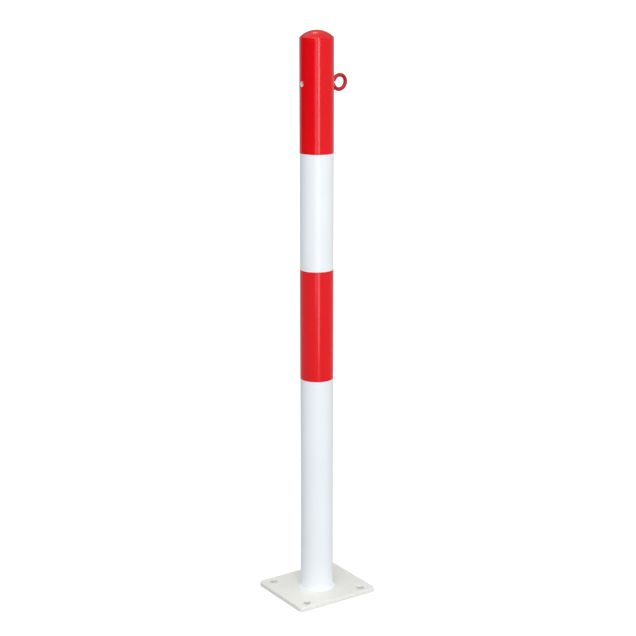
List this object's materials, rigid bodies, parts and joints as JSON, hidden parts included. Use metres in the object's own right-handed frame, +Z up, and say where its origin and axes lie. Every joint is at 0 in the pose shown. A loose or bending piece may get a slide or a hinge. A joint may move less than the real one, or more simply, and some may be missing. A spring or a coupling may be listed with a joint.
{
  "type": "chain post with base plate",
  "caption": "Round painted steel barrier post with a domed cap, red and white bands, a drilled base plate, and a screw-in chain eye with a spare thread opposite.",
  "frame": {"origin": "centre of the base plate's underside, on the post's axis", "axes": "+Z up along the post, +X level towards the chain eye and along the plate's longer side, +Y across the plate"},
  "size_m": [0.166, 0.146, 1.031],
  "materials": {
    "white_paint": "gloss white powder coat on steel",
    "red_paint": "gloss signal-red powder coat on steel",
    "red_coat": "gloss signal-red powder coat over the white one",
    "zinc_plate": "bright zinc-plated steel"
  },
  "bodies": {
    "post": {"base_plate": "white_paint", "post_tube": "white_paint", "foot_weld": "white_paint", "dome_cap": "red_paint", "cap_weld": "red_paint", "top_red_coat": "red_coat", "low_red_band": "red_coat", "eye_insert": "zinc_plate", "spare_insert": "zinc_plate"},
    "eye": {"chain_eye": "red_paint"}
  },
  "joints": [
    {"name": "eye_turn", "type": "hinge", "parent": "post", "child": "eye", "pos_m": [0.0475, 0, 0.94], "axis": [1, 0, 0], "range_deg": [0, 180]}
  ]
}
